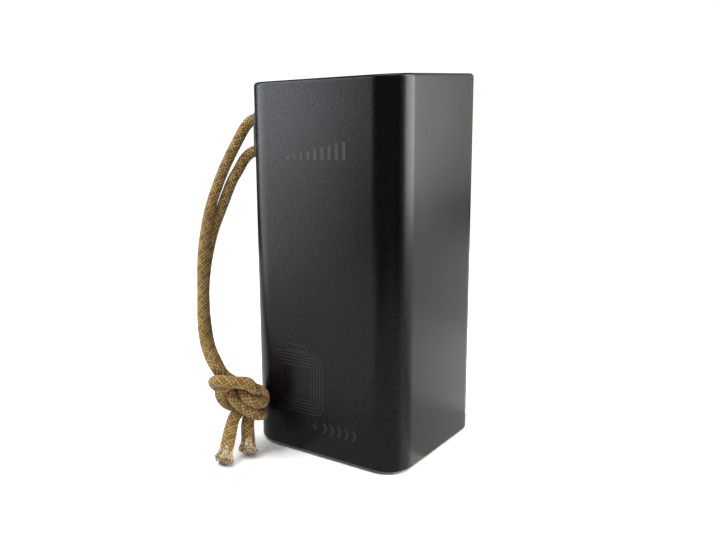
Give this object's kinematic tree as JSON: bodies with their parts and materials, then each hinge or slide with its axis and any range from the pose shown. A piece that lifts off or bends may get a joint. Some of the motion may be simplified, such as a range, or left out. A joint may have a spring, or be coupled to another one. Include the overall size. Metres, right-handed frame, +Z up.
{
  "type": "power bank",
  "caption": "Upright square-section power bank with rounded corners, top ports, a press button and a knotted cord lanyard.",
  "frame": {"origin": "on the surface it stands on, under the middle of the sleeve, at the foot pad's underside", "axes": "+Z up along the sleeve; -Y is the broad front face; the lanyard leaves the -X face near the front corner"},
  "size_m": [0.0967, 0.0986, 0.152],
  "materials": {
    "cover": "fine matte black",
    "screw": "zinc-plated dark",
    "nickel": "nickel sheet",
    "capacitor": "plain can",
    "cell": "blue shrink sleeve",
    "chip": "black moulded package",
    "board": "green solder mask",
    "window": "dark smoked gloss",
    "foot": "dull black",
    "holder": "black moulded",
    "anchor": "dark satin",
    "cord": "khaki diagonal braid",
    "black_lead": "silicone sleeve",
    "red_lead": "silicone sleeve",
    "pad": "pressed insulating fibre",
    "button": "satin dark grey",
    "ferrite": "pressed dark grey ferrite",
    "shell": "dark grey metallic satin with a fine grain",
    "plunger": "black moulded",
    "panel": "fine matte black",
    "socket_steel": "folded nickel-plated sheet",
    "tongue": "white moulded contact carrier"
  },
  "bodies": {
    "case": {"bottom_cover": "cover", "bottom_screw_1": "screw", "bottom_screw_2": "screw", "bottom_screw_3": "screw", "bottom_screw_4": "screw", "bus_bottom": "nickel", "bus_middle": "nickel", "bus_top": "nickel", "capacitor_left": "capacitor", "capacitor_right": "capacitor", "cell_01": "cell", "cell_02": "cell", "cell_03": "cell", "cell_04": "cell", "cell_05": "cell", "cell_06": "cell", "cell_07": "cell", "cell_08": "cell", "cell_09": "cell", "cell_10": "cell", "cell_11": "cell", "cell_12": "cell", "cell_13": "cell", "cell_14": "cell", "cell_15": "cell", "charge_chip": "chip", "controller_chip": "chip", "display_board": "board", "display_module": "chip", "display_window": "window", "foot_pad": "foot", "holder_lower_bottom": "holder", "holder_lower_top": "holder", "holder_upper_bottom": "holder", "holder_upper_top": "holder", "lanyard_anchor": "anchor", "lanyard_knot": "cord", "lanyard_loop": "cord", "lanyard_lower": "cord", "lanyard_pocket": "anchor", "lanyard_tail_left": "cord", "lanyard_tail_right": "cord", "lanyard_upper": "cord", "lead_black": "black_lead", "lead_red": "red_lead", "main_board": "board", "pad_bottom": "pad", "pad_top": "pad", "power_inductor": "ferrite", "shell": "shell", "switch_body": "chip", "top_panel": "panel", "usb_a_left_shell": "socket_steel", "usb_a_left_tongue": "tongue", "usb_a_right_shell": "socket_steel", "usb_a_right_tongue": "tongue", "usb_c_shell": "socket_steel", "usb_c_tongue": "tongue"},
    "button": {"power_button": "button", "switch_plunger": "plunger"}
  },
  "joints": [
    {"name": "button_press", "type": "slide", "parent": "case", "child": "button", "axis": [0, 0, -1], "range_m": [0, 0.0004], "stiffness_N_per_m": 3000}
  ]
}
